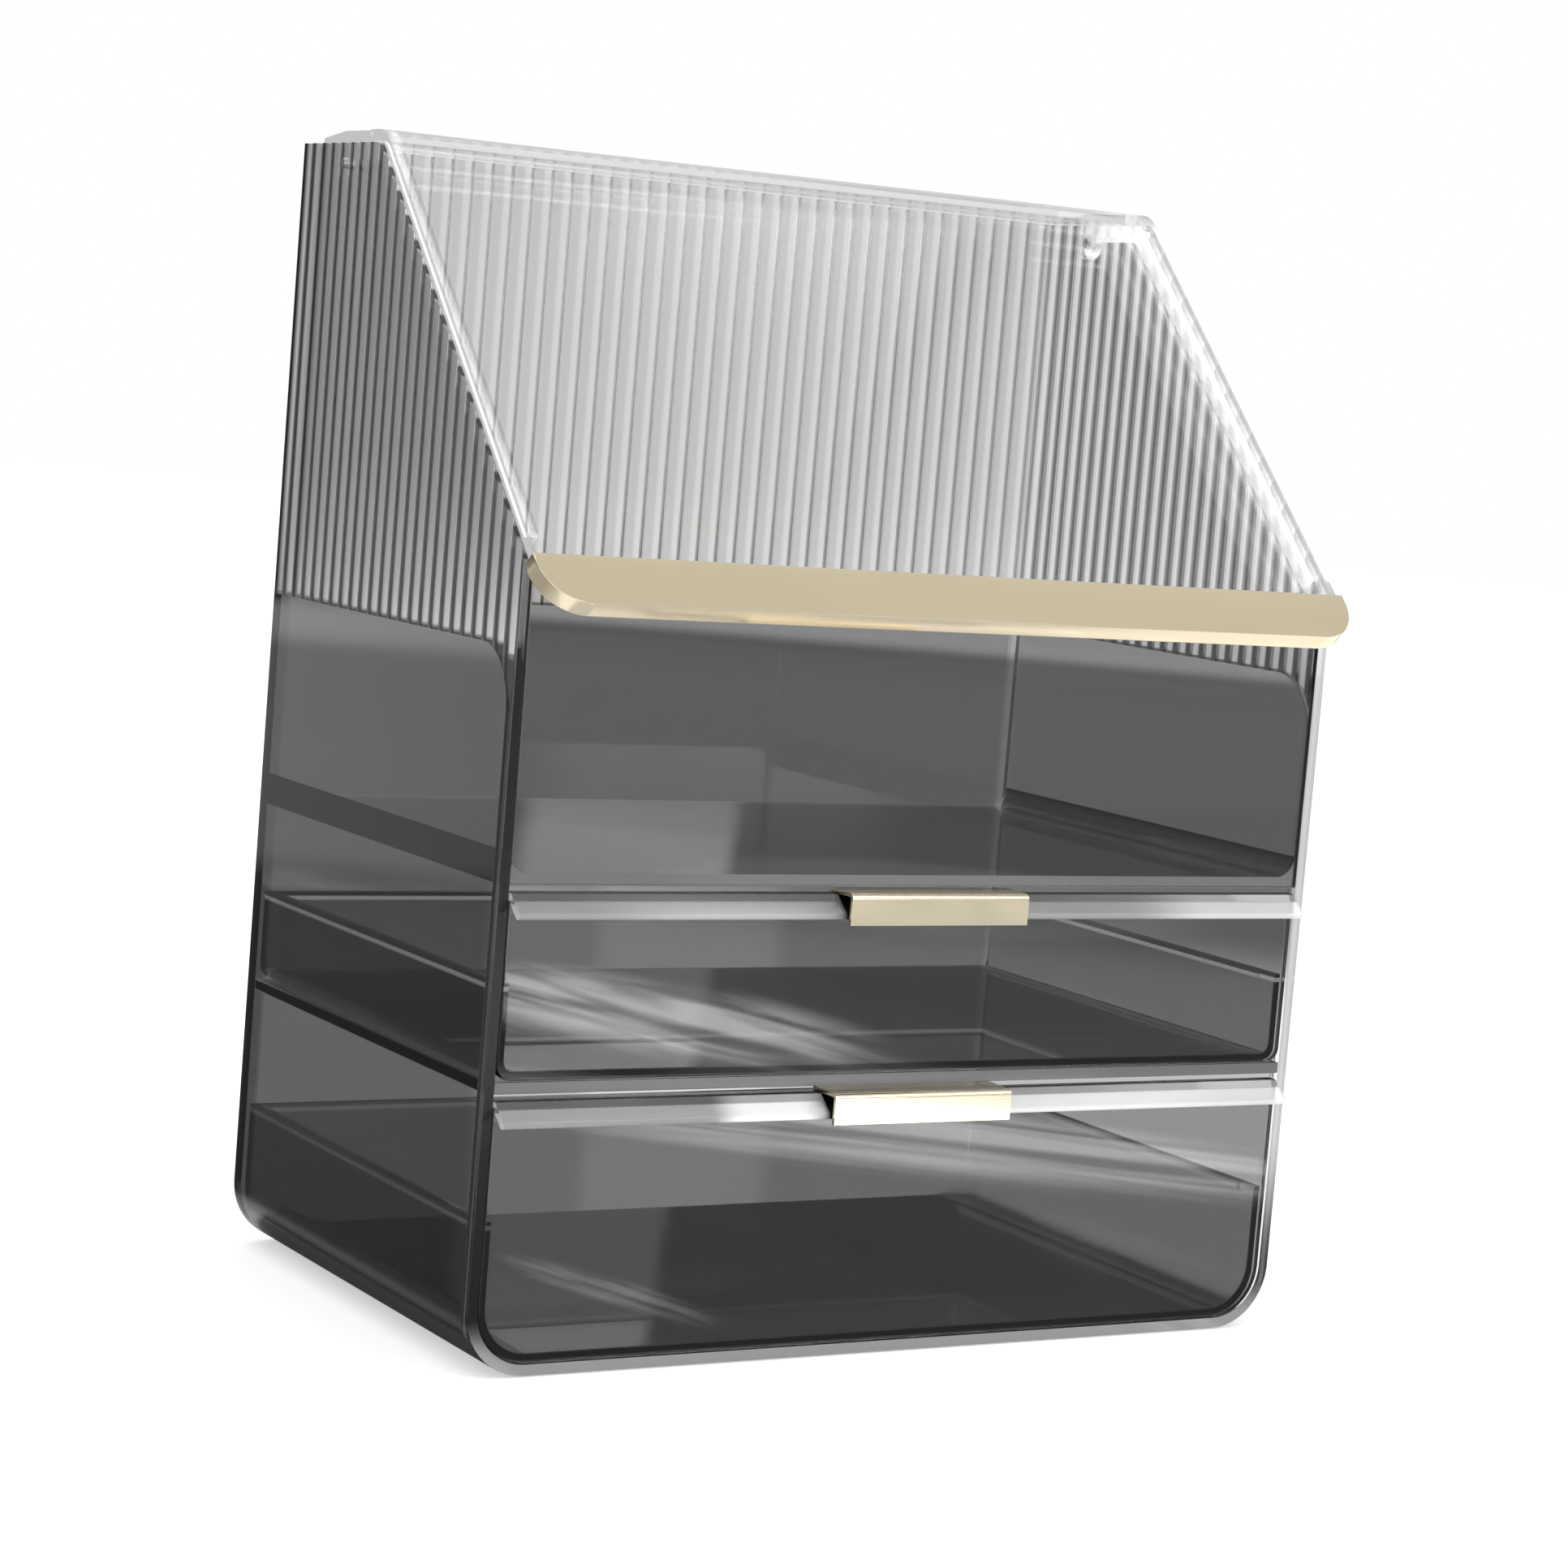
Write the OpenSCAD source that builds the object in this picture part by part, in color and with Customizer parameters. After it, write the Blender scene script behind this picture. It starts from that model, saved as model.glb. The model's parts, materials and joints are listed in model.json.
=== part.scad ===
// Dustproof makeup organizer: smoked cabinet, two drawers, clear bent lid with a gold edge.
// X is the width, -Y the front, +Z up. The origin is the middle of the base.

/* [Overall size] */
// Width over the side walls
body_w = 260; // [200:1:320]
// Depth from the drawer fronts to the back
body_d = 156; // [130:1:200]
// Height of the side walls
body_h = 318.5; // [300:0.5:380]

/* [Cabinet] */
// Thickness of walls, floor and back
wall_t = 3; // [2.5:0.1:4]
// Outer radius of the two long bottom edges
corner_r = 18; // [8:0.5:24]
// Depth of the level part of the wall tops
flat_d = 50.5; // [46:0.5:70]
// Fall of the sloping wall tops
slope_a = 45; // [40:1:48]
// Radius where level and slope meet
blend_r = 6; // [3:0.5:10]
// Height of the underside of the middle shelf
shelf_z = 75; // [50:0.5:90]
// Height of the underside of the upper floor
floor_z = 129.4; // [115:0.2:145]
// Thickness of the middle shelf
shelf_t = 3.2; // [2.5:0.1:4]
// Thickness of the upper floor
floor_t = 3; // [2.5:0.1:4]
// Radius of the fillets along the upper floor
floor_fillet = 6; // [3:0.5:10]

/* [Reeding] */
// Wanted distance from reed to reed
reed_pitch = 6.5; // [4:0.1:12]
// Depth of the valleys between the reeds
reed_depth = 1.2; // [0.6:0.1:1.6]
// Height at which the reeds end
reed_z = 190.3; // [170:0.1:210]
// Radius at the front corner of the smooth area
reed_corner = 16; // [5:1:25]
// Reeded strip left in front of the smooth area
reed_front = 3.6; // [2:0.1:8]

/* [Drawers] */
// Thickness of the drawer fronts
front_t = 3; // [2:0.1:4]
// Thickness of the trays
tray_t = 2.2; // [1.5:0.1:3]
// Height of the upper tray
upper_tray_h = 25.5; // [15:0.5:40]
// Height of the lower tray
lower_tray_h = 38; // [20:0.5:60]
// Gap at each side of a drawer front
front_gap = 0.5; // [0.3:0.1:1.2]
// Gap at each side of a tray
tray_gap = 1; // [0.5:0.1:2]
// Running gap under a drawer
run_gap = 0.3; // [0.2:0.05:0.8]
// Gap above a drawer front, which the handle passes
top_gap = 1.7; // [1.5:0.1:3]
// Reach of the front lip
lip_out = 6.2; // [3:0.1:10]
// Fall of the front lip
lip_drop = 5.2; // [2:0.1:9]
// Thickness of the front lip
lip_t = 2.2; // [1.5:0.1:3]
// Height of the bead inside the tray rims
bead_h = 2.4; // [1.5:0.1:4]
// Radius of the bottom corners of the upper drawer
upper_r = 4; // [3:0.5:8]

/* [Handles] */
// Width of a handle
handle_w = 57; // [30:1:100]
// Thickness of the handle strip
handle_t = 1; // [0.6:0.1:1.2]
// Drop of the front flange
handle_drop = 8.6; // [6:0.1:14]
// Drop of the hook behind the drawer front
hook_drop = 6; // [4:0.5:10]
// Finger space between the lip and the flange
finger_gap = 1; // [0.5:0.1:4]
// Inner radius of the strip bends
handle_bend = 0.6; // [0.3:0.1:1]

/* [Lid] */
// Thickness of the clear sheet
lid_t = 3.2; // [2.5:0.1:4]
// Gap between the sheet and the wall tops
lid_gap = 0.4; // [0.3:0.05:0.8]
// Set-back of the sheet from the outside of the walls
lid_inset = 1.2; // [0.8:0.1:2]
// Gap between the side flanges and the walls
flange_gap = 0.4; // [0.3:0.05:0.8]
// Thickness of the side flanges
flange_t = 2.4; // [1.8:0.1:3]
// Depth of the side flanges under the sheet
flange_h = 5; // [3:0.5:8]
// Distance of the hinge pins from the back
pin_back = 26; // [22:0.5:32]
// Distance of the hinge pins under the wall tops
pin_down = 5.7; // [5:0.1:8]
// Diameter of the hinge pins
pin_d = 3; // [2:0.1:4]
// Radial play of the ears on the pins
pin_play = 0.3; // [0.2:0.05:0.5]
// Radius of the hinge ears
ear_r = 5; // [4:0.1:7]
// Clearance of the rear flap from the back panel
flap_gap = 1.7; // [1:0.1:3]
// Shoulder of the sheet in front of the pins
shoulder = 16; // [15:0.5:19]

/* [Trim] */
// Length of the gold trim along the slope
trim_l = 16.2; // [10:0.1:26]
// Thickness of metal round the sheet
trim_t = 1.1; // [0.8:0.1:1.6]
// Radius of the two lower corners
trim_r = 13.5; // [6:0.5:16]
// Distance of the trim from the front of the walls
trim_gap = 0.6; // [0.4:0.1:2]

/* [Hidden] */
$fn = 64;

half_w = body_w / 2;
half_d = body_d / 2;
inner_w = body_w - 2 * wall_t;
inner_r = corner_r - wall_t;
back_y = half_d - wall_t;
panel_y = -half_d + wall_t;

// Corner of the wall tops, tangent length of its blend, and height of the front edge
bend_y = half_d - flat_d;
blend_l = blend_r * tan(slope_a / 2);
slope_run = bend_y + half_d;
slope_l = slope_run / cos(slope_a);
front_z = body_h - slope_run * tan(slope_a);

// Reeds: crests lie a skim under the wall surface, valleys reed_depth below them
skim = 0.02;
side_reeds = round(body_d / reed_pitch);
side_pitch = body_d / side_reeds;
back_reeds = round(inner_w / reed_pitch);
back_pitch = inner_w / back_reeds;

// Drawer heights follow the openings
lower_z = wall_t + run_gap;
lower_top = shelf_z - top_gap;
upper_z = shelf_z + shelf_t + run_gap;
upper_top = floor_z - top_gap;
front_w = inner_w - 2 * front_gap;
tray_w = inner_w - 2 * tray_gap;
tray_front_y = -half_d + front_t;
tray_back_y = back_y - run_gap;

// Lid: heights over the wall tops, hinge place and the radius that the flap sweeps
lid_top = lid_gap + lid_t;
lid_w = body_w - 2 * lid_inset;
flap_w = inner_w - 2 * flange_gap;
pin_y = half_d - pin_back;
pin_z = body_h - pin_down;
flap_r = back_y - pin_y - flap_gap;
flap_taper = 2;
flap_taper_l = 16;
ear_x = flap_w / 2 - flange_t;
flange_end = slope_l - flange_h - 2;
blend_steps = 12;

// Trim: runs from trim_from to trim_to down the slope
trim_from = slope_l + trim_gap + trim_t;
trim_to = trim_from + trim_l;
trim_w = lid_w + 2 * trim_t;
over = 10;

smoked = [0.38, 0.38, 0.39, 0.6];
clear = [0.88, 0.89, 0.9, 0.35];
gold = [0.84, 0.76, 0.55];

// Extrudes a drawing of (x, z) from y0 to y1
module along_y(y0, y1) {
    translate([0, y1, 0]) rotate([90, 0, 0]) linear_extrude(y1 - y0) children();
}

// Extrudes a drawing of (y, z) from x0 to x1
module along_x(x0, x1) {
    translate([x0, 0, 0]) rotate([90, 0, 90]) linear_extrude(x1 - x0) children();
}

// Moves to the slope: Y runs up it from the corner of the wall tops, Z stands off it
module on_slope() {
    translate([0, bend_y, body_h]) rotate([slope_a, 0, 0]) children();
}

// Upright drawing of a tub: a rectangle with two round bottom corners
module tub(w, h, r) {
    translate([-w / 2, r]) square([w, h - r]);
    translate([-w / 2 + r, 0]) square([w - 2 * r, h]);
    for (s = [-1, 1]) translate([s * (w / 2 - r), r]) circle(r);
}

// Points (y, z) from the rear to the front along the roof line raised by off. The line
// is level, turns down the slope by an arc and stops at the distance reach past the corner.
function roof_line(off, y_rear, reach) =
    let (r = blend_r + off,
         centre = [bend_y + blend_l, body_h - blend_r],
         dir = [cos(slope_a), sin(slope_a)])
    concat([[y_rear, body_h + off]],
           [for (i = [0:blend_steps]) let (a = slope_a * i / blend_steps) centre + r * [-sin(a), cos(a)]],
           [[bend_y, body_h] - reach * dir + off * [-dir[1], dir[0]]]);

// Side drawing of the smooth area under the reeds, with its round front corner
module smooth_area() {
    y0 = -half_d + reed_front;
    r = reed_corner;
    translate([y0, -over]) square([body_d + over, reed_z - r + over]);
    translate([y0 + r, -over]) square([body_d + over, reed_z + over]);
    translate([y0 + r, reed_z - r]) circle(r);
}

// Plan of the valleys between n reeds along X, cut into a face at Y = 0 from above.
// Each reed is an arc whose radius follows from pitch and depth.
module valleys(n, pitch) {
    r = (pitch * pitch / 4 + reed_depth * reed_depth) / (2 * reed_depth);
    difference() {
        translate([0, -2 * reed_depth]) square([n * pitch, 2 * reed_depth + 1]);
        for (i = [0:n]) translate([i * pitch, -r - skim]) circle(r, $fn = 96);
    }
}

module wall_valleys() {
    intersection() {
        linear_extrude(body_h + over)
            translate([half_w, -half_d]) rotate(90) mirror([0, 1]) valleys(side_reeds, side_pitch);
        difference() {
            cube([4 * body_w, 4 * body_d, 3 * body_h], center = true);
            along_x(half_w - wall_t, half_w + over) smooth_area();
        }
    }
}

// U-shaped casing: two side walls and the floor, bent from one sheet
module cabinet_shell() {
    color(smoked) difference() {
        intersection() {
            along_y(-half_d, half_d) difference() {
                tub(body_w, body_h, corner_r);
                translate([0, wall_t]) tub(inner_w, body_h, inner_r);
            }
            along_x(-half_w, half_w)
                polygon(concat(roof_line(0, half_d, slope_l), [[-half_d, 0], [half_d, 0]]));
        }
        for (m = [0, 1]) mirror([m, 0, 0]) wall_valleys();
        translate([-half_w - 1, pin_y, pin_z]) rotate([0, 90, 0]) cylinder(d = pin_d + 0.1, h = body_w + 2);
    }
}

module back_panel() {
    color(smoked) difference() {
        along_y(back_y, half_d) translate([0, wall_t]) tub(inner_w, body_h - wall_t, inner_r);
        translate([-inner_w / 2, half_d, reed_z]) linear_extrude(body_h) valleys(back_reeds, back_pitch);
    }
}

// Floor of the top compartment, with a fillet along each wall
module upper_floor() {
    r = floor_fillet;
    color(smoked) along_y(panel_y, back_y) {
        translate([-inner_w / 2, floor_z]) square([inner_w, floor_t]);
        for (m = [0, 1]) mirror([m, 0]) translate([inner_w / 2 - r, floor_z + floor_t]) difference() {
            square(r);
            translate([0, r]) circle(r);
        }
    }
}

module middle_shelf() {
    color(smoked) translate([-inner_w / 2, -half_d, shelf_z]) cube([inner_w, body_d - wall_t, shelf_t]);
}

// Fixed front of the top compartment
module front_panel() {
    color(smoked) translate([-inner_w / 2, -half_d, floor_z])
        cube([inner_w, wall_t, front_z - floor_z - lid_gap]);
}

module hinge_pin() {
    length = half_w - ear_x + 0.3;
    color(clear) translate([-half_w + 0.3, pin_y, pin_z]) rotate([0, 90, 0]) cylinder(d = pin_d, h = length);
}

module left_hinge_pin() {
    hinge_pin();
}

module right_hinge_pin() {
    mirror([1, 0, 0]) hinge_pin();
}

// Side drawing of a layer of the lid between two heights over the wall tops
module lid_layer(low, high, y_rear, reach) {
    front = roof_line(low, y_rear, reach);
    polygon(concat(roof_line(high, y_rear, reach), [for (i = [len(front) - 1:-1:0]) front[i]]));
}

// Side drawing of the sheet behind the pins: tapered, its end round about the hinge
module flap_layer() {
    top = body_h + lid_top;
    taper_y = pin_y + flap_r - flap_taper_l;
    difference() {
        lid_layer(lid_gap, lid_top, half_d, slope_l);
        polygon([[taper_y, top], [taper_y + flap_taper_l + over, top - flap_taper * (flap_taper_l + over) / flap_taper_l],
                 [taper_y + flap_taper_l + over, top + over], [taper_y, top + over]]);
        difference() {
            translate([pin_y, body_h - over]) square([3 * over, 3 * over]);
            translate([pin_y, pin_z]) circle(flap_r, $fn = 128);
        }
    }
}

module hinge_ear() {
    difference() {
        union() {
            translate([pin_y, pin_z]) circle(ear_r);
            translate([pin_y - ear_r, pin_z]) square([2 * ear_r, body_h + lid_gap + 0.5 - pin_z]);
        }
        translate([pin_y, pin_z]) circle(pin_d / 2 + pin_play);
    }
}

// Clear lid: one bent sheet that lies on the walls, a flap between them behind the
// pins, and side flanges that carry the ears
module lid_panel() {
    corner = trim_r - trim_t + 0.2;
    sheet_end = trim_to - trim_t;
    color(clear) difference() {
        union() {
            along_x(-lid_w / 2, lid_w / 2) lid_layer(lid_gap, lid_top, pin_y - shoulder, sheet_end);
            along_x(-flap_w / 2, flap_w / 2) flap_layer();
            for (m = [0, 1]) mirror([m, 0, 0]) along_x(ear_x, ear_x + flange_t) {
                difference() {
                    lid_layer(-flange_h, lid_gap + 0.5, pin_y, flange_end);
                    translate([pin_y, pin_z]) circle(pin_d / 2 + pin_play);
                }
                hinge_ear();
            }
        }
        on_slope() for (m = [0, 1]) mirror([m, 0, 0])
            translate([lid_w / 2 - corner, -sheet_end + corner, -over]) linear_extrude(3 * over)
                difference() {
                    translate([0, -corner - 1]) square(corner + 1);
                    circle(corner);
                }
    }
}

// Face drawing of the trim or of the sheet in it: a strip with two round lower corners
module trim_face(w, from, to, r) {
    intersection() {
        translate([-w / 2, -to]) square([w, to - from]);
        union() {
            translate([-w / 2, -to + r]) square([w, to]);
            translate([-w / 2 + r, -to]) square([w - 2 * r, to]);
            for (s = [-1, 1]) translate([s * (w / 2 - r), -to + r]) circle(r);
        }
    }
}

// Gold channel round the lower edge of the lid
module lid_trim() {
    color(gold) on_slope() difference() {
        translate([0, 0, lid_gap - trim_t]) linear_extrude(lid_t + 2 * trim_t)
            trim_face(trim_w, trim_from, trim_to, trim_r);
        translate([0, 0, lid_gap]) linear_extrude(lid_t)
            trim_face(lid_w, trim_from - over, trim_to - trim_t, trim_r - trim_t);
    }
}

// Drawer tray: open at the top and at the front, with a bead inside its side rims
module tray(z, h, r) {
    inner = tray_w - 2 * tray_t;
    color(smoked) translate([0, 0, z]) {
        along_y(tray_front_y, tray_back_y) difference() {
            tub(tray_w, h, r);
            translate([0, tray_t]) tub(inner, h, r - tray_t / 2);
        }
        along_y(tray_back_y - tray_t, tray_back_y) tub(tray_w, h, r);
        for (m = [0, 1]) mirror([m, 0, 0]) translate([inner / 2 - tray_t / 2, tray_front_y + 3 * tray_t, h - bead_h])
            cube([tray_t, tray_back_y - tray_front_y - 6 * tray_t, bead_h]);
    }
}

// Drawer front with its forward lip, whose edge is round
module drawer_front(z, top, r) {
    reach = norm([lip_out, lip_drop]) - lip_t / 2;
    color(smoked) {
        along_y(-half_d, tray_front_y) translate([0, z]) tub(front_w, top - z, r);
        along_x(-front_w / 2, front_w / 2) translate([-half_d, top]) rotate(atan(lip_drop / lip_out)) {
            translate([-reach, -lip_t]) square([reach, lip_t]);
            translate([-reach, -lip_t / 2]) circle(lip_t / 2);
        }
    }
}

// Quarter of a bent strip, round the origin, for the corner towards -Y and +Z
module strip_bend() {
    r = handle_bend + handle_t;
    intersection() {
        difference() {
            circle(r);
            circle(handle_bend);
        }
        translate([-r, 0]) square(r);
    }
}

// Gold strip over the top of a drawer front: hook, plate and front flange
module handle(top) {
    r = handle_bend;
    y_front = -half_d - lip_out - finger_gap - handle_t;
    y_hook = tray_front_y;
    z_plate = top + handle_t;
    color(gold) along_x(-handle_w / 2, handle_w / 2) {
        translate([y_front, z_plate - handle_drop]) square([handle_t, handle_drop - r - handle_t]);
        translate([y_front + r + handle_t, top]) square([y_hook + handle_t - y_front - r - handle_t, handle_t]);
        translate([y_hook, z_plate - hook_drop]) square([handle_t, hook_drop]);
        translate([y_front + r + handle_t, top - r]) strip_bend();
    }
}

module upper_drawer_tray() {
    tray(upper_z, upper_tray_h, upper_r);
}

module upper_drawer_front() {
    drawer_front(upper_z, upper_top, upper_r);
}

module upper_drawer_handle() {
    handle(upper_top);
}

module lower_drawer_tray() {
    tray(lower_z, lower_tray_h, inner_r - tray_gap);
}

module lower_drawer_front() {
    drawer_front(lower_z, lower_top, inner_r - front_gap);
}

module lower_drawer_handle() {
    handle(lower_top);
}

cabinet_shell();
back_panel();
upper_floor();
middle_shelf();
front_panel();
left_hinge_pin();
right_hinge_pin();
lid_panel();
lid_trim();
upper_drawer_tray();
upper_drawer_front();
upper_drawer_handle();
lower_drawer_tray();
lower_drawer_front();
lower_drawer_handle();
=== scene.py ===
import json
import math

import bmesh
import bpy
import numpy as np
from mathutils import Matrix, Vector

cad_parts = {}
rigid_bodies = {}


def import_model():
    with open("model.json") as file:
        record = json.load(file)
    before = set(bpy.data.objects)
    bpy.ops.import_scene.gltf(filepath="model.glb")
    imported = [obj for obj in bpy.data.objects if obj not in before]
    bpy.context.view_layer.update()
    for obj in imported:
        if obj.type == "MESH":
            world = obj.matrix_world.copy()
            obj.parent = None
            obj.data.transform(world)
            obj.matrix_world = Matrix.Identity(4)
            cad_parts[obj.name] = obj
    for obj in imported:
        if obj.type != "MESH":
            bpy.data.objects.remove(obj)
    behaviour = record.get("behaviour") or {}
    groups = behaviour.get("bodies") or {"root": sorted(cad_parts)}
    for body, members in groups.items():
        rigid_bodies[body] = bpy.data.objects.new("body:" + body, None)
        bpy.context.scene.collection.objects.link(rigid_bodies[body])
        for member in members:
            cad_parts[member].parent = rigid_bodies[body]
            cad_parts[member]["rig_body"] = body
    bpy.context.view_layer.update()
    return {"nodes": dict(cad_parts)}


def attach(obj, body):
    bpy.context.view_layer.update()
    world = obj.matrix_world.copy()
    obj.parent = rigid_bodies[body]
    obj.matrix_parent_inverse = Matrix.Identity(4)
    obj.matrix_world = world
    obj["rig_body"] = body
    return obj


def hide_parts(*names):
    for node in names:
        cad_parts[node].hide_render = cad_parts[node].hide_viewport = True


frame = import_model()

# Sizes of the organizer in metres, as the CAD has them
HALF_W = 0.130
HALF_D = 0.078
WALL = 0.003
PULL_HALF_W = 0.0285
UPPER_RIM_Z = 0.104
LOWER_RIM_Z = 0.0413
BEAD_H = 0.0024

# Reeds: height of the line where they end, radius of its corner, distance from the wall's front, and the
# length over which they run out
REED_Z = 0.1903
REED_CORNER = 0.016
REED_FRONT = 0.0036
REED_END = 0.0012
SIDE_REEDS = 24
BACK_REEDS = 39
SIDE_PITCH = 2 * HALF_D / SIDE_REEDS
BACK_PITCH = 2 * (HALF_W - WALL) / BACK_REEDS

# A painted edge starts this far inside the edge itself
MARGIN = 0.0002

# Distances from the middle past which there are only a reeded wall's outer face and valleys, the lid's side
# edges and flanges, and the pieces at the right-hand side
OUTER_FACE = HALF_W - WALL + 0.0012
LID_SIDE = 0.126
RIGHT_SIDE = 0.12

# Heights between which the lower tray ends and the upper one begins
BETWEEN_TRAYS = (0.06, 0.07)

# Depth under a tray's rim at which its bead turns from painted shade to painted highlight
BEAD_SHADE_DEPTH = 0.001

# Rounds of cut edges, in metres, and the least angle in degrees at which an edge is eased
SHEET_ROUND = 0.0003
TRIM_ROUND = 0.00045
PULL_ROUND = 0.00015
SHARP_ANGLE = 35

# The photograph's camera: place in metres, angles in degrees, lens and sensor in millimetres
CAMERA_AT = Vector((-0.5710, -0.9468, 0.2644))
AZIMUTH = -31.05
ELEVATION = 6.05
ROLL = 4.73
LENS = 88.31
SENSOR = 36.0

# Level directions in the studio, along the camera's view and to its right
TURN = math.radians(AZIMUTH)
LOOK = (-math.sin(TURN), math.cos(TURN), 0)
ACROSS = (math.cos(TURN), math.sin(TURN), 0)

# Round floor, a hair under the object
FLOOR_RADIUS = 6
FLOOR_POINTS = 96
FLOOR_Z = -0.0004

# Streaks of window light on the floor: centre, half length, half width, direction in degrees, brightness
STREAKS = (
    ((0.165, -0.34), 0.22, 0.075, 42, 4.0),
    ((-0.045, -0.157), 0.05, 0.014, 76, 1.5),
    ((0.192, -0.574), 0.14, 0.085, 81, 5.5),
)

# Pale cards on the floor, painted as patches of brighter light: centre and radius
CARDS = (((0.2, -0.41), 0.09), ((0.53, -0.88), 0.16))

# Kinds of sockets, and the two ends of the grey scale
FLOAT = "NodeSocketFloat"
COLOUR = "NodeSocketColor"
BLACK = (0, 0, 0, 1)
WHITE = (1, 1, 1, 1)


def photo_camera():
    """A camera that looks along AZIMUTH and ELEVATION, turned by ROLL about its own line of sight."""
    a, e, r = (math.radians(v) for v in (AZIMUTH, ELEVATION, ROLL))
    back = Vector((math.sin(a) * math.cos(e), -math.cos(a) * math.cos(e), math.sin(e)))
    right = Vector((math.cos(a), math.sin(a), 0))
    up = back.cross(right)
    right, up = right * math.cos(r) + up * math.sin(r), up * math.cos(r) - right * math.sin(r)
    data = bpy.data.cameras.new("photo_camera")
    data.lens, data.sensor_width = LENS, SENSOR
    data.clip_start, data.clip_end = 0.05, 30
    cam = bpy.data.objects.new("photo_camera", data)
    turn = Matrix((right, up, back)).transposed().to_4x4()
    cam.matrix_world = Matrix.Translation(CAMERA_AT) @ turn
    bpy.context.scene.collection.objects.link(cam)
    bpy.context.scene.camera = cam


# Helpers for nodes
def grey(value):
    return (value, value, value, 1)


class Wiring:
    """Adds nodes to a tree and joins their sockets. A value is another node's socket or a plain number."""

    SPACING = 180

    def __init__(self, tree):
        self.tree = tree
        self.column = 0

    def add(self, kind, inputs=None, **settings):
        node = self.tree.nodes.new(kind)
        self.column += 1
        node.location = (self.SPACING * self.column, 0)
        for key, value in settings.items():
            setattr(node, key, value)
        for key, value in (inputs or {}).items():
            self.feed(node.inputs[key], value)
        return node

    def feed(self, socket, value):
        if isinstance(value, bpy.types.NodeSocket):
            self.tree.links.new(value, socket)
        else:
            socket.default_value = value

    def math(self, operation, a, b=0.0, clamp=False):
        node = self.add("ShaderNodeMath", {0: a, 1: b}, operation=operation, use_clamp=clamp)
        return node.outputs[0]

    def chain(self, operation, values):
        result, *others = values
        for other in others:
            result = self.math(operation, result, other)
        return result

    def product(self, *values):
        return self.chain("MULTIPLY", values)

    def total(self, *values):
        return self.chain("ADD", values)

    def less(self, value, taken):
        return self.math("SUBTRACT", value, taken)

    def most(self, *values):
        return self.chain("MAXIMUM", values)

    def size(self, value):
        return self.math("ABSOLUTE", value)

    def step(self, value, low, high, out_low=0.0, out_high=1.0):
        """A smooth step from out_low to out_high, while value goes from low to high or down to high."""
        node = self.add("ShaderNodeMapRange", {"Value": value, "From Min": low, "From Max": high,
                                               "To Min": out_low, "To Max": out_high},
                        interpolation_type="SMOOTHSTEP")
        return node.outputs["Result"]

    def blend(self, share, without, full):
        """A number that goes from without to full as the share goes from 0 to 1."""
        return self.step(share, 0.0, 1.0, without, full)

    def colour(self, share, a, b):
        node = self.add("ShaderNodeMix", data_type="RGBA")
        self.feed(node.inputs["Factor"], share)
        self.feed(node.inputs[6], a)
        self.feed(node.inputs[7], b)
        return node.outputs[2]

    def number(self, share, a, b):
        node = self.add("ShaderNodeMix", data_type="FLOAT")
        for socket, value in zip((0, 2, 3), (share, a, b)):
            self.feed(node.inputs[socket], value)
        return node.outputs[0]

    def vector(self, operation, *values):
        return self.add("ShaderNodeVectorMath", dict(enumerate(values)), operation=operation).outputs

    def unit(self, vector):
        return self.vector("NORMALIZE", vector)["Vector"]

    def dot(self, a, b):
        return self.vector("DOT_PRODUCT", a, b)["Value"]

    def length(self, vector):
        return self.vector("LENGTH", vector)["Value"]

    def axes(self, vector):
        return self.add("ShaderNodeSeparateXYZ", {0: vector}).outputs

    def place(self):
        return self.add("ShaderNodeTexCoord").outputs["Object"]

    def facing(self):
        return self.add("ShaderNodeTexCoord").outputs["Normal"]

    def scaled(self, vector, scale):
        return self.add("ShaderNodeMapping", {"Vector": vector, "Scale": scale}).outputs[0]

    def noise(self, vector, scale, **inputs):
        return self.add("ShaderNodeTexNoise", {"Vector": vector, "Scale": scale, **inputs}).outputs["Fac"]


def new_group(name, inputs, outputs):
    tree = bpy.data.node_groups.new(name, "ShaderNodeTree")
    for socket, kind, value in inputs:
        made = tree.interface.new_socket(name=socket, in_out="INPUT", socket_type=kind)
        made.default_value = value
    for socket, kind in outputs:
        tree.interface.new_socket(name=socket, in_out="OUTPUT", socket_type=kind)
    wires = Wiring(tree)
    return tree, wires, wires.add("NodeGroupInput").outputs, wires.add("NodeGroupOutput").inputs


def moulded_surface_group():
    """Finish of pressed or bent plastic: a long, weak waviness, fine haze that changes the gloss, and a few
    specks. Height = waviness * noise(long waves); roughness = base + haze * noise + specks."""
    tree, w, given, out = new_group(
        "moulded surface",
        [("Roughness", FLOAT, 0.05), ("Haze", FLOAT, 0.03), ("Waviness", FLOAT, 1.0)],
        [("Roughness", FLOAT), ("Height", FLOAT), ("Specks", FLOAT)])
    place = w.place()
    wave = w.noise(place, 14.0, Detail=0.0)
    smear = w.noise(place, 70.0, Detail=2.0, Roughness=0.65)
    dots = w.add("ShaderNodeTexVoronoi", {"Vector": place, "Scale": 130.0, "Randomness": 1.0})
    speck = w.step(dots.outputs["Distance"], 0.035, 0.015)
    haze = w.product(w.step(smear, 0.42, 0.75), given["Haze"])
    rough = w.math("ADD", w.total(given["Roughness"], haze), w.product(speck, 0.12), clamp=True)
    w.feed(out["Roughness"], rough)
    w.feed(out["Height"], w.product(wave, given["Waviness"]))
    w.feed(out["Specks"], speck)
    return tree


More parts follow.
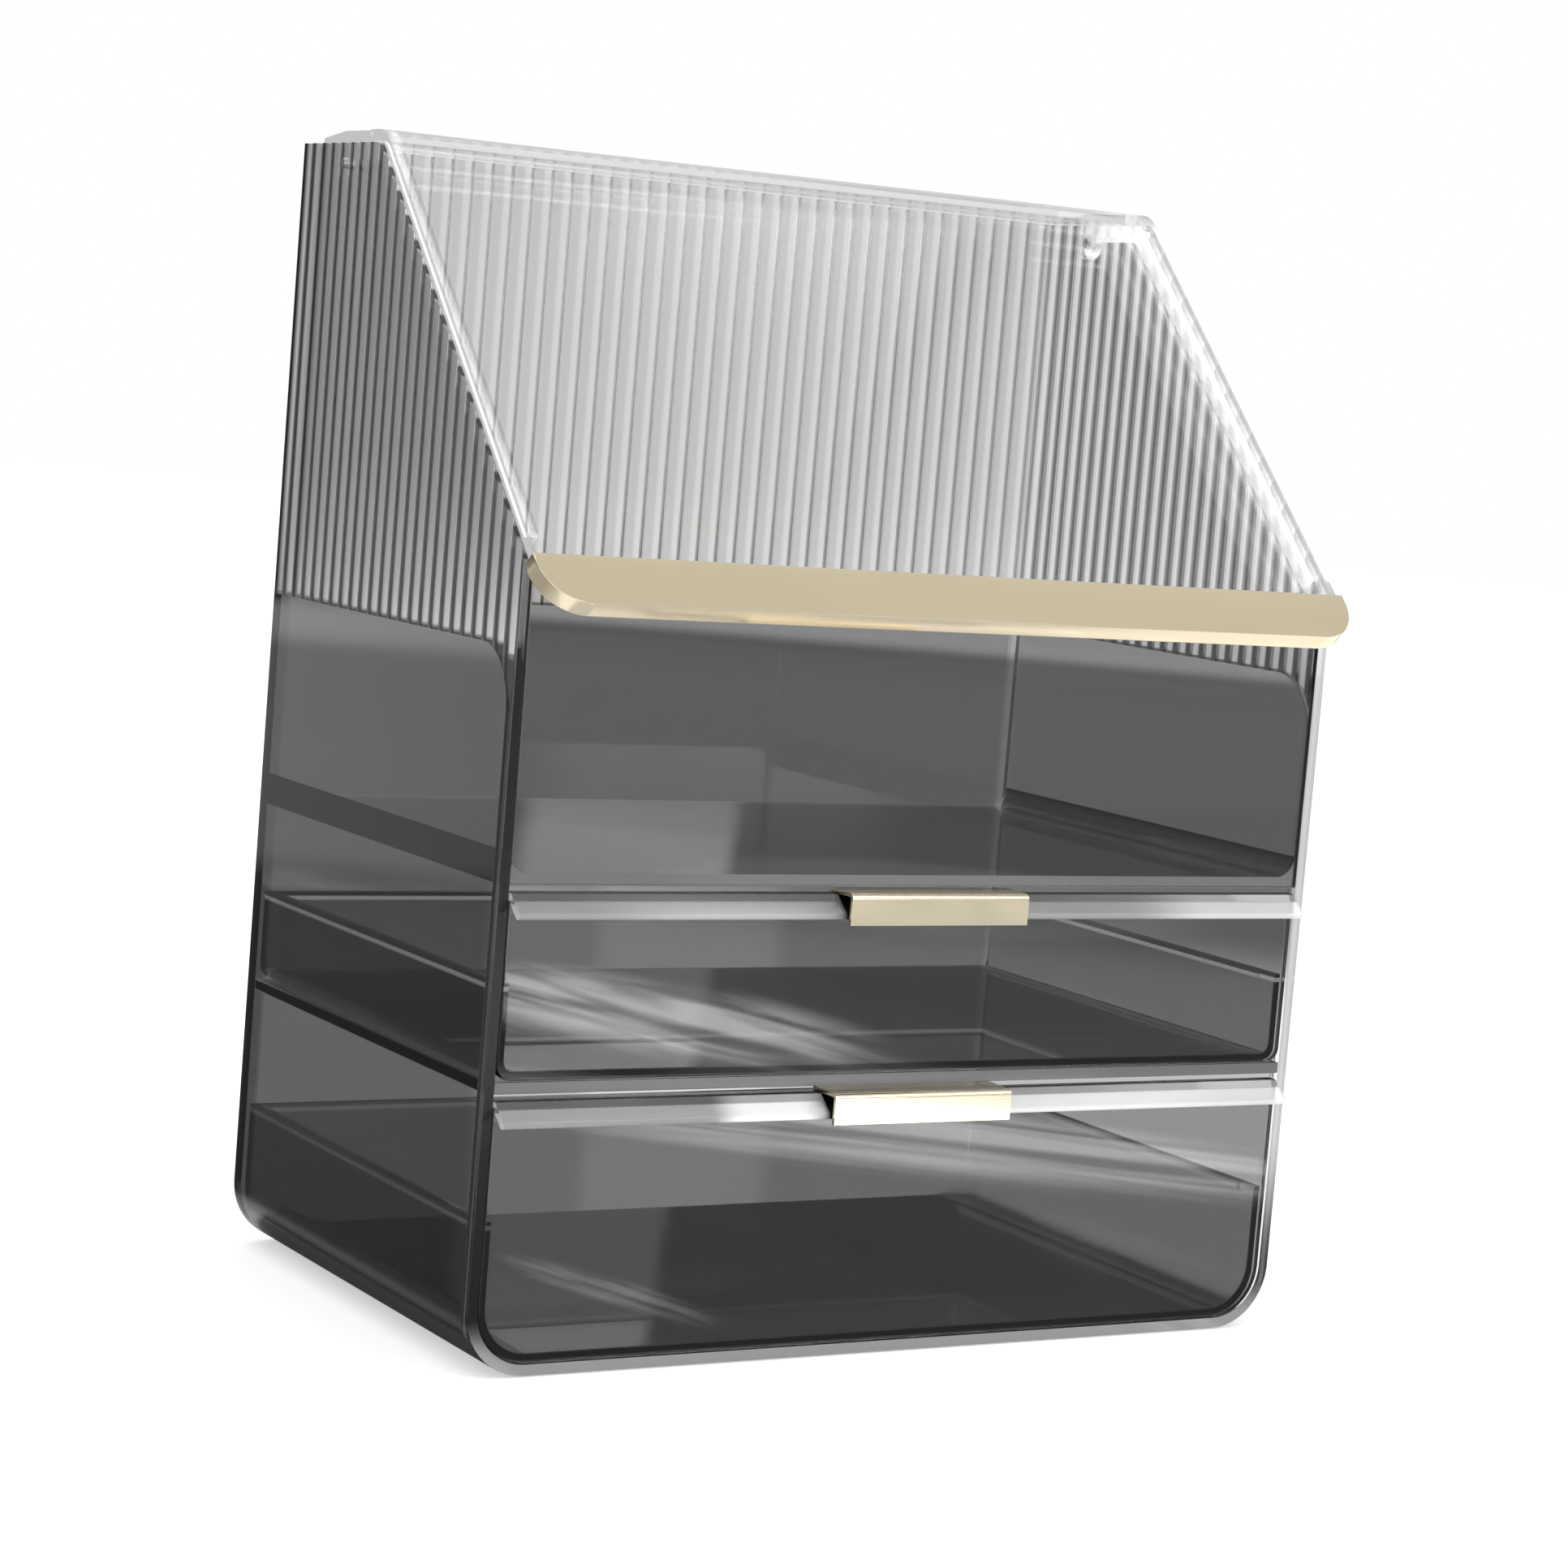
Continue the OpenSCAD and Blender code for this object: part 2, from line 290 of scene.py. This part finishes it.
def reed_tint_group():
    """Tint of a reeded sheet by place: Smooth under the line where the reeds end, Reed above it, which is
    lighter. Corner is 1 on the side walls, whose line has a round corner at the front, and 0 on the back. A
    place is above the line when its distance from the corner's centre, counted only forwards and upwards, is
    more than the corner's radius. Stripes is the strength of the painted shade in the valleys, and Crest is
    the share of the crests, where a painted glow goes."""
    tree, w, given, out = new_group(
        "reed tint",
        [("Smooth", COLOUR, grey(0.4)), ("Reed", COLOUR, grey(0.9)), ("Corner", FLOAT, 1.0),
         ("Stripes", FLOAT, 0.5)],
        [("Colour", COLOUR), ("Share", FLOAT), ("Crest", FLOAT)])
    x, y, z = w.axes(w.place())
    side = given["Corner"]
    back = w.less(1.0, side)
    # how far the place lies in front of and above the centre of the round corner
    forwards = w.product(w.most(w.less(-HALF_D + REED_FRONT + REED_CORNER, y), 0.0), side)
    upwards = w.most(w.less(z, REED_Z - REED_CORNER), 0.0)
    far = w.math("SQRT", w.total(w.product(forwards, forwards), w.product(upwards, upwards)))
    share = w.step(far, REED_CORNER - MARGIN, REED_CORNER + MARGIN)
    # the reeds run out over a narrow slope, which is painted dark as shade
    slope = w.product(share, w.step(far, REED_CORNER + REED_END, REED_CORNER + REED_END / 2))
    # each reed gets a painted shade towards its valleys, where the place lies near a whole number of reeds
    across = w.total(w.product(side, w.math("DIVIDE", y, SIDE_PITCH)),
                     w.product(back, w.math("DIVIDE", x, BACK_PITCH)))
    across = w.total(across, w.total(SIDE_REEDS / 2, w.product(back, 0.5)))
    valley = w.step(w.size(w.less(w.math("FRACT", across), 0.5)), 0.2, 0.36)
    # only the outer, reeded face is shaded so; the back's distance is counted as if it were a side wall
    outer = w.most(w.product(side, w.size(x)), w.product(back, w.total(y, HALF_W - HALF_D)))
    outer = w.step(outer, OUTER_FACE, OUTER_FACE + MARGIN)
    # painted shade: the valleys of the outer face darken towards near black, and so does the run-out slope
    painted_valley_shade = w.product(valley, outer, given["Stripes"])
    reeds = w.colour(painted_valley_shade, given["Reed"], grey(0.02))
    reeds = w.colour(w.product(slope, 0.85), reeds, grey(0.08))
    w.feed(out["Colour"], w.colour(share, given["Smooth"], reeds))
    w.feed(out["Share"], share)
    # the share of the crests, which get a painted glow in reeded()
    w.feed(out["Crest"], w.product(w.less(1.0, valley), outer, share))
    return tree


def satin_metal_group():
    """Finish of plated metal: fine brushing along X, a slow change of tone, and paler rubbed edges. Height =
    noise stretched along X; colour = base darkened by the slow noise and lightened where the surface is
    convex."""
    tree, w, given, out = new_group(
        "satin metal",
        [("Colour", COLOUR, (0.8, 0.7, 0.5, 1)), ("Rubbed", COLOUR, WHITE), ("Roughness", FLOAT, 0.25),
         ("Wear", FLOAT, 0.5)],
        [("Colour", COLOUR), ("Roughness", FLOAT), ("Height", FLOAT)])
    place = w.place()
    brush = w.noise(w.scaled(place, (40.0, 2600.0, 2600.0)), 1.0, Detail=2.0)
    cloud = w.noise(place, 26.0, Detail=3.0)
    convex = w.step(w.add("ShaderNodeNewGeometry").outputs["Pointiness"], 0.52, 0.62)
    base = w.colour(w.step(cloud, 0.35, 0.7, 0.0, 0.1), given["Colour"], (0.35, 0.3, 0.2, 1))
    w.feed(out["Colour"], w.colour(w.product(convex, given["Wear"]), base, given["Rubbed"]))
    rough = w.total(given["Roughness"], w.product(w.less(brush, 0.5), 0.12))
    rough = w.math("ADD", rough, w.step(cloud, 0.3, 0.8, -0.03, 0.05), clamp=True)
    w.feed(out["Roughness"], rough)
    w.feed(out["Height"], brush)
    return tree


MOULDED = moulded_surface_group()
REED_TINT = reed_tint_group()
SATIN = satin_metal_group()


def new_material(name):
    material = bpy.data.materials.new(name)
    material.use_nodes = True
    material.node_tree.nodes.clear()
    w = Wiring(material.node_tree)
    return material, w, w.add("ShaderNodeOutputMaterial").inputs


def sawn(w, place, facing, past):
    """Share of the sawn faces: past a distance from the middle on an axis, and facing along that axis."""
    return w.product(w.step(w.size(place), past - MARGIN * 1.5, past - MARGIN / 2),
                     w.step(w.size(facing), 0.75, 0.85))


# The functions called edges, rims and lips each describe the painted edges of one kind of sheet. They give
# the share of the edges, their tint, their roughness and their glow. The glow is painted light, an emission
# there, and some of the tints hold painted shade.
def shell_edges(w, place, facing):
    """The front and back edges of the walls and the shell's floor, tinted dark but with a painted glow low
    down and on the right, and the sloping top of the right wall, which is clear and has a weaker painted
    glow."""
    low = w.step(place["Z"], 0.016, 0.004, 0.0, 0.3)
    on_right = w.step(place["X"], RIGHT_SIDE - 0.02, RIGHT_SIDE)
    right = w.product(on_right, w.step(place["Z"], 0.02, 0.06, 0.0, 0.5))
    upright = sawn(w, place["Y"], facing["Y"], HALF_D)
    sloping = w.product(w.step(facing["Z"], 0.6, 0.65), w.step(facing["Y"], -0.6, -0.65), on_right)
    glow = w.most(low, right, w.product(sloping, 0.2))
    return w.most(upright, sloping), w.colour(sloping, grey(0.3), grey(0.95)), 0.2, glow


def back_edges(w, place, facing):
    """The bonded ends of the back panel: painted shade on the left end, painted light on the right end, with
    a painted glow there that grows towards the top.
    """
    on_right = w.step(place["X"], -0.01, 0.01)
    # painted shade on the left end, painted light on the right end
    tint = w.colour(on_right, grey(0.25), grey(0.75))
    glow = w.product(on_right, w.step(place["Z"], 0.17, REED_Z, 0.015, 0.05))
    end = HALF_W - 2 * WALL
    return w.step(w.size(place["X"]), end - MARGIN, end), tint, 0.0, glow


def floor_edges(w, place, facing):
    """The front edges of the upper floor and of the middle shelf, tinted dark, with a weak painted glow."""
    return sawn(w, place["Y"], facing["Y"], HALF_D - WALL), grey(0.3), 0.2, 0.16


def lid_edges(w, place, facing):
    """The side edges and flanges of the lid, pale, with a painted glow that is a little brighter on the
    left.
    """
    glow = w.step(place["X"], -0.05, 0.05, 0.5, 0.42)
    return sawn(w, place["X"], facing["X"], LID_SIDE), grey(0.97), 0.2, glow


def tray_rims(w, place, facing):
    """The bead along the rim has a painted shade at the top and a painted highlight under that, which also
    glows a little, more so on the upper tray.
    """
    upper = w.step(place["Z"], *BETWEEN_TRAYS)
    below = w.less(w.blend(upper, LOWER_RIM_Z, UPPER_RIM_Z), place["Z"])
    # a painted shade along the top of the bead, and a painted highlight with a little glow under it
    dark = w.step(below, BEAD_SHADE_DEPTH + 0.0003, BEAD_SHADE_DEPTH)
    light = w.product(w.step(below, BEAD_SHADE_DEPTH, BEAD_SHADE_DEPTH + 0.0003),
                      w.step(below, BEAD_H + MARGIN, BEAD_H - MARGIN / 2))
    share = w.product(w.most(dark, light), w.blend(upper, 0.3, 1.0))
    return share, w.colour(light, grey(0.03), grey(0.6)), 0.1, w.product(light, 0.14)


def lips(w, place, facing):
    """The forward lip of a drawer front is satin and hardly smoked. It has a painted glow to the right, for
    the
    light that comes from there: from the middle on the lower drawer, and from further right on the upper
    one.
    The lower lip also has a painted bright patch on the left. Inside the hook of the pull a lip has a
    painted shadow, near black and without glow."""
    on_lip = w.step(place["Y"], -HALF_D - 0.0001, -HALF_D - 0.0005)
    # painted shadow inside the hook of the pull
    hook_shadow = w.step(w.size(place["X"]), PULL_HALF_W + MARGIN, PULL_HALF_W - MARGIN)
    streak = w.noise(w.scaled(w.place(), (9.0, 60.0, 60.0)), 1.0, Detail=1.0)
    # painted glow towards the right, a painted bright patch on the lower lip, and streaks in the glow
    start = w.step(place["Z"], 0.09, 0.11, -0.002, 0.065)
    lit = w.step(w.less(place["X"], start), 0.0, 0.03, 0.07, 0.2)
    patch = w.product(w.step(w.size(w.total(place["X"], 0.045)), 0.022, 0.008),
                      w.step(place["Z"], 0.1, 0.09, 0.0, 0.35))
    lit = w.total(w.most(lit, patch), w.step(streak, 0.4, 0.65, 0.0, 0.07))
    return on_lip, w.colour(hook_shadow, grey(0.97), grey(0.04)), 0.3, w.product(w.less(1.0, hook_shadow), lit)


def reeded(w, tint, reed, corner, valley_shade):
    """Tint, roughness and glow of a reeded sheet. The reeds are a little satin, and their crests on the side
    walls, and on the back next to them, get a painted glow, an emission in place of light, more on the
    right."""
    reeds = w.add("ShaderNodeGroup", {"Smooth": tint, "Reed": reed, "Corner": corner, "Stripes": valley_shade},
                  node_tree=REED_TINT).outputs
    aside = w.axes(w.place())["X"]
    painted_crest_glow = w.total(w.step(aside, -RIGHT_SIDE, -RIGHT_SIDE - 0.008, 0.0, 0.045),
                       w.step(aside, RIGHT_SIDE, RIGHT_SIDE + 0.008, 0.0, 0.1))
    return reeds["Colour"], w.product(reeds["Share"], 0.1), w.product(reeds["Crest"], painted_crest_glow)


def sheet_plastic(name, tint, reed=None, corner=1.0, valley_shade=0.0, edge=None, density=12.0, haze=0.012,
                  shade=0.72, clear=0.0):
    """Clear or smoked sheet. Light is tinted once at each face it goes through and by its way inside the
    sheet. Shade is the share of light that a face lets through in shadows. Clear is the share of the view
    that goes straight through the faces of a thin clear sheet, but not through its edges."""
    material, w, out = new_material(name)
    finish = w.add("ShaderNodeGroup", {"Roughness": 0.0, "Haze": haze, "Waviness": 0.3},
                   node_tree=MOULDED).outputs
    colour, rough, share, glow = tint, finish["Roughness"], 0.0, 0.0
    if reed:
        colour, reed_rough, glow = reeded(w, tint, reed, corner, valley_shade)
        rough = w.most(rough, reed_rough)
    if edge:
        share, edge_tint, edge_rough, edge_glow = edge(w, w.axes(w.place()), w.axes(w.facing()))
        colour = w.colour(share, colour, edge_tint)
        rough = w.most(rough, w.product(share, edge_rough))
        glow = w.most(w.product(share, edge_glow), glow)
    colour = w.colour(w.product(finish["Specks"], 0.25), colour, grey(0.75))
    bump = w.add("ShaderNodeBump", {"Height": finish["Height"], "Strength": 0.2, "Distance": 0.0008})
    shader = w.add("ShaderNodeBsdfPrincipled", {"Base Color": colour, "Roughness": rough,
                                                "Normal": bump.outputs[0]})
    shader.inputs["Metallic"].default_value = 0.0
    shader.inputs["IOR"].default_value = 1.49
    shader.inputs["Transmission Weight"].default_value = 1.0
    # the glow of the edges and of the reeds' crests is painted light, given as an emission
    if edge:
        w.feed(shader.inputs["Emission Color"], w.colour(glow, BLACK, WHITE))
        shader.inputs["Emission Strength"].default_value = 1.0
    through = w.add("ShaderNodeBsdfTransparent")
    through.inputs["Color"].default_value = grey(shade)
    ray = w.add("ShaderNodeLightPath").outputs
    straight = ray["Is Shadow Ray"]
    if clear:
        straight = w.most(straight, w.product(ray["Is Camera Ray"], w.blend(share, clear, 0.0)))
    mix = w.add("ShaderNodeMixShader", {0: straight, 1: shader.outputs[0], 2: through.outputs[0]})
    w.feed(out["Surface"], mix.outputs[0])
    inside = w.add("ShaderNodeVolumeAbsorption")
    inside.inputs["Color"].default_value = grey(0.12)
    inside.inputs["Density"].default_value = density
    w.feed(out["Volume"], inside.outputs[0])
    return material


def plated_metal(name, colour, rubbed, roughness, under=0.0):
    """Plated metal. Faces that look down get a painted reflection of the pale table's light, an emission in
    the rubbed colour, as strong as under says.
    """
    material, w, out = new_material(name)
    finish = w.add("ShaderNodeGroup", node_tree=SATIN)
    for socket, value in (("Colour", colour), ("Rubbed", rubbed), ("Roughness", roughness), ("Wear", 0.4)):
        w.feed(finish.inputs[socket], value)
    satin = finish.outputs
    bump = w.add("ShaderNodeBump", {"Height": satin["Height"], "Strength": 0.25, "Distance": 0.00002})
    shader = w.add("ShaderNodeBsdfPrincipled", {"Base Color": satin["Colour"],
                                                "Roughness": satin["Roughness"], "Normal": bump.outputs[0]})
    shader.inputs["Metallic"].default_value = 1.0
    if under:
        # painted reflection of the floor: an emission in the rubbed colour on faces that look down
        down = w.axes(w.facing())["Z"]
        glow = w.step(down, -0.3, -0.6, 0.0, under)
        w.feed(shader.inputs["Emission Color"], w.colour(glow, BLACK, rubbed))
        shader.inputs["Emission Strength"].default_value = 1.0
    w.feed(out["Surface"], shader.outputs[0])
    return material


SMOKE = grey(0.53)
smoked_shell = sheet_plastic("smoked reeded plastic", SMOKE, reed=grey(0.95), valley_shade=1.0, edge=shell_edges)
smoked_back = sheet_plastic("smoked reeded back", SMOKE, reed=grey(0.98), corner=0.0, valley_shade=0.38,
                            edge=back_edges)
smoked_front = sheet_plastic("smoked front plastic", SMOKE)
smoked_sheet = sheet_plastic("smoked floor plastic", SMOKE, edge=floor_edges)
tray_plastic = sheet_plastic("smoked tray plastic", grey(0.44), edge=tray_rims)
drawer_plastic = sheet_plastic("smoked drawer plastic", grey(0.56), edge=lips)
clear_lid = sheet_plastic("clear lid plastic", grey(0.985), edge=lid_edges, density=1.2, haze=0.004,
                          shade=0.985, clear=0.75)
pin_metal = plated_metal("hinge pin steel", grey(0.62), grey(0.9), 0.2)
# the trim's faces that look down get a painted reflection of the floor
trim_gold = plated_metal("champagne gold trim", (0.73, 0.63, 0.44, 1), (0.95, 0.86, 0.66, 1), 0.12,
                         under=0.32)
pull_gold = plated_metal("pale gold pull", (0.86, 0.76, 0.55, 1), (1.0, 0.94, 0.8, 1), 0.14)

# The finish of every piece, the slot of every finish, and the round of its cut edges. Pieces whose finish
# has no round keep the CAD's own mesh.
FINISH = {
    "cabinet_shell": smoked_shell,
    "back_panel": smoked_back,
    "upper_floor": smoked_sheet,
    "middle_shelf": smoked_sheet,
    "front_panel": smoked_front,
    "left_hinge_pin": pin_metal,
    "right_hinge_pin": pin_metal,
    "lid_panel": clear_lid,
    "lid_trim": trim_gold,
    "upper_drawer_tray": tray_plastic,
    "upper_drawer_front": drawer_plastic,
    "upper_drawer_handle": pull_gold,
    "lower_drawer_tray": tray_plastic,
    "lower_drawer_front": drawer_plastic,
    "lower_drawer_handle": pull_gold,
}
SLOT = dict.fromkeys(FINISH.values(), "smoked_plastic")
SLOT[clear_lid] = "clear_plastic"
SLOT[pin_metal] = "pin_steel"
SLOT[trim_gold] = "gold_trim"
SLOT[pull_gold] = "gold_pull"
ROUND = dict.fromkeys((smoked_sheet, smoked_front, tray_plastic, drawer_plastic), SHEET_ROUND)
ROUND[trim_gold] = TRIM_ROUND
ROUND[pull_gold] = PULL_ROUND
BODY = {n: o["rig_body"] for n, o in frame["nodes"].items()}


def eased_copy(node, width):
    """A copy of a CAD node's mesh, its triangles joined into flat faces, with every sharp edge eased by a
    small round of the given width, as moulded and cut sheet has."""
    mesh = frame["nodes"][node].data.copy()
    sharp_angle = math.radians(SHARP_ANGLE)
    bm = bmesh.new()
    bm.from_mesh(mesh)
    bmesh.ops.remove_doubles(bm, verts=bm.verts, dist=2e-6)
    bmesh.ops.dissolve_limit(bm, angle_limit=math.radians(0.4), verts=bm.verts, edges=bm.edges,
                             delimit={"NORMAL"})
    sharp = [e for e in bm.edges if len(e.link_faces) == 2 and e.calc_face_angle(0) > sharp_angle]
    bmesh.ops.bevel(bm, geom=sharp, offset=width, offset_type="OFFSET", segments=2, profile=0.6,
                    affect="EDGES", clamp_overlap=True)
    bm.to_mesh(mesh)
    bm.free()
    mesh.shade_smooth()
    mesh.set_sharp_from_angle(angle=sharp_angle)
    piece = bpy.data.objects.new(node + "_eased", mesh)
    bpy.context.scene.collection.objects.link(piece)
    even = piece.modifiers.new("even shading", "WEIGHTED_NORMAL")
    even.weight, even.keep_sharp = 100, True
    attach(piece, BODY[node])
    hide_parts(node)
    return piece


def dress(obj, material):
    obj.data.materials.clear()
    obj.data.materials.append(material)
    for polygon in obj.data.polygons:
        polygon.material_index = 0


for node, material in FINISH.items():
    if material in ROUND:
        dress(eased_copy(node, ROUND[material]), material)
    else:
        dress(frame["nodes"][node], material)


# Studio
def bearing(w, place, x, y):
    """The X part of the level direction from the point x, y to the place."""
    way = w.vector("SUBTRACT", place, (x, y, 0))["Vector"]
    return w.axes(w.unit(way))["X"]


def pale_cards(w, place):
    """Share of the round pale cards in front, by the distance from their centres. They are painted on the
    floor as brighter light, and the faces of the two pulls reflect them."""
    cards = 0.0
    for centre, radius in CARDS:
        off = w.vector("DISTANCE", place, (*centre, 0))["Value"]
        cards = w.most(cards, w.step(off, radius, 0.7 * radius))
    return cards


def window_streaks(w, place):
    """Brightness of the streaks of window light in front, which the drawer fronts reflect. Each is an
    ellipse that fades from its middle and is broken up by noise."""
    streaks = 0.0
    for centre, half_length, half_width, turn, level in STREAKS:
        local = w.add("ShaderNodeMapping", {"Vector": place, "Location": (*centre, 0),
                                            "Scale": (half_length, half_width, 1),
                                            "Rotation": (0, 0, math.radians(turn))}, vector_type="TEXTURE")
        local = local.outputs[0]
        grain = w.noise(w.scaled(local, (0.8, 2.0, 1.0)), 1.3, Detail=2.0, Distortion=0.4)
        one = w.product(w.step(w.length(local), 1.05, 0.45), w.step(grain, 0.35, 0.62, 0.15 * level, level))
        streaks = w.most(streaks, one)
    return streaks


def floor_zones(w, place):
    """Brightness of the floor as the object sees it. The floor is bright, dim in a part of a ring behind
    the box, and hardly lit under the box and far out to both sides. That is multiplied by wedges, a flag, a
    patch and the pale cards, and the streaks of window light are added."""
    x, y = w.axes(place)[:2]
    far = w.length(place)
    along = w.dot(w.unit(place), LOOK)
    ring = w.product(w.step(far, 0.6, 0.95), w.step(far, 3.0, 2.6), w.step(along, 0.65, 0.85))
    side = w.product(w.step(w.size(along), 0.92, 0.66), w.step(far, 2.7, 3.2))
    beside = w.most(w.less(w.size(x), HALF_W), w.less(w.size(y), HALF_D))
    under = w.step(beside, 0.012, -0.012)
    behind = w.product(w.step(y, -0.08, -0.06), w.step(far, 2.6, 2.2))
    # a dark wedge in front, seen from the camera's mirror image behind the drawer fronts
    from_front = bearing(w, place, CAMERA_AT.x, -2 * HALF_D - CAMERA_AT.y)
    wedge = w.product(w.step(from_front, 0.41, 0.45), w.step(from_front, 0.68, 0.63),
                      w.step(y, -0.07, -0.09))
    # a darker wedge to the left, seen from the camera's mirror image behind the left wall
    from_left = bearing(w, place, -2 * HALF_W - CAMERA_AT.x, CAMERA_AT.y)
    left_wedge = w.product(w.step(from_left, -0.38, -0.39), w.step(from_left, -0.48, -0.465),
                           w.step(x, -HALF_W, -HALF_W - 0.02), w.step(far, 1.05, 0.85))
    # behind the box, seen from the camera: a dark flag past the left front corner, a bright patch beside it
    from_camera = bearing(w, place, CAMERA_AT.x, CAMERA_AT.y)
    flag = w.product(w.step(from_camera, 0.455, 0.449), behind)
    patch = w.product(w.step(from_camera, 0.473, 0.479), w.step(from_camera, 0.52, 0.514), behind,
                      w.step(far, 1.1, 0.85))
    level = w.total(w.blend(w.most(ring, side, under), 0.9, 0.0), w.product(ring, 0.21))
    lift = w.total(w.blend(behind, 1.0, 1.15), w.blend(wedge, 0.0, -0.6),
                   w.product(w.most(patch, pale_cards(w, place)), 0.5))
    level = w.product(level, lift, w.blend(flag, 1.0, 0.42), w.blend(left_wedge, 1.0, 0.06))
    level = w.most(w.less(level, w.most(side, under)), w.blend(side, 0.04, 0.15))
    return w.total(level, window_streaks(w, place))


def stage_floor():
    """A wide round floor: one face whose corners lie evenly on a circle. The camera sees it pale and evenly
    lit. The object sees its zones, which light it without noise."""
    turn = np.linspace(0, 2 * np.pi, FLOOR_POINTS + 1)[:-1]
    points = np.c_[FLOOR_RADIUS * np.cos(turn), FLOOR_RADIUS * np.sin(turn), np.full(FLOOR_POINTS, FLOOR_Z)]
    mesh = bpy.data.meshes.new("floor")
    mesh.from_pydata(points.tolist(), [], [list(range(FLOOR_POINTS))])
    floor = bpy.data.objects.new("floor", mesh)
    bpy.context.scene.collection.objects.link(floor)
    material, w, out = new_material("pale floor")
    place = w.place()
    camera = w.add("ShaderNodeLightPath").outputs["Is Camera Ray"]
    pale = w.colour(w.noise(place, 3.0), grey(0.93), grey(0.95))
    shader = w.add("ShaderNodeBsdfPrincipled", {"Base Color": w.colour(camera, grey(0.03), pale)})
    shader.inputs["Roughness"].default_value = 0.7
    shader.inputs["Emission Color"].default_value = WHITE
    w.feed(shader.inputs["Emission Strength"], w.number(camera, floor_zones(w, place), 0.5))
    w.feed(out["Surface"], shader.outputs[0])
    mesh.materials.append(material)


def surroundings_light(w, way):
    """Brightness of the surroundings by direction, from smooth steps of the direction's height and of its
    level part along the photograph's line of sight and across it."""
    height = w.axes(way)["Z"]
    flat = w.unit(w.vector("MULTIPLY", way, (1, 1, 0))["Vector"])
    along = w.dot(flat, LOOK)
    # a bright backdrop, darker over the height of the box, where the level floors reflect it
    over = w.product(w.step(height, 0.05, 0.09), w.step(height, 0.36, 0.3))
    backdrop = w.product(w.step(along, 0.66, 0.92, 0.0, 0.85), w.blend(over, 1.0, 0.12))
    front = w.step(along, -0.1, -0.6, 0.0, 0.7)
    flanks = w.product(w.step(w.size(along), 0.85, 0.6), w.step(height, 0.08, 0.25, 0.0, 0.6))
    sides = w.total(w.most(backdrop, front, flanks), w.step(along, 0.66, 0.92, 0.15, 0.05))
    ceiling = w.step(height, 0.35, 0.75, 0.0, 0.8)
    # a bright window low over the backdrop, leaning a little, which only the level sheets show
    lean = w.total(w.dot(flat, ACROSS), w.product(height, 0.1))
    window = w.product(w.step(lean, -0.06, -0.05), w.step(lean, 0.003, -0.003), w.step(height, 0.1, 0.125),
                       w.step(height, 0.34, 0.3), w.step(along, 0.5, 0.9), 1.1)
    # a soft bright card in front, which the back panel shows near its top
    ahead = w.dot(flat, (0.5, -0.866, 0))
    card = w.product(w.step(ahead, 0.9984, 0.9996), w.step(height, 0.018, 0.036), w.step(height, 0.14, 0.1),
                     3.5)
    return w.total(w.most(sides, ceiling), window, card)


def studio_surroundings():
    """A plain white backdrop for the camera, and the light of the surroundings for everything else."""
    world = bpy.data.worlds.new("studio")
    bpy.context.scene.world = world
    world.use_nodes = True
    world.node_tree.nodes.clear()
    w = Wiring(world.node_tree)
    light = surroundings_light(w, w.add("ShaderNodeTexCoord").outputs["Generated"])
    camera = w.add("ShaderNodeLightPath").outputs["Is Camera Ray"]
    background = w.add("ShaderNodeBackground", {"Color": WHITE, "Strength": w.number(camera, light, 1.0)})
    w.add("ShaderNodeOutputWorld", {"Surface": background.outputs[0]})


def softbox(name, at, towards, size, power):
    data = bpy.data.lights.new(name, "AREA")
    data.shape, data.energy = "RECTANGLE", power
    data.size, data.size_y = size
    lamp = bpy.data.objects.new(name, data)
    turn = (Vector(at) - Vector(towards)).to_track_quat("Z", "Y").to_matrix().to_4x4()
    lamp.matrix_world = Matrix.Translation(Vector(at)) @ turn
    bpy.context.scene.collection.objects.link(lamp)


photo_camera()
stage_floor()
studio_surroundings()
softbox("overhead softbox", (-0.5, -0.15, 1.5), (0, 0, 0.1), (1.6, 1.1), 3)
softbox("front right softbox", (0.9, -1.3, 1.2), (0, 0, 0.15), (0.6, 0.6), 5)

scene = bpy.context.scene
scene.view_settings.view_transform = "Standard"
scene.view_settings.look = "None"
scene.cycles.max_bounces = 20
scene.cycles.transmission_bounces = 20
scene.cycles.transparent_max_bounces = 16
scene.cycles.glossy_bounces = 6
scene.cycles.caustics_refractive = False
scene.cycles.caustics_reflective = False
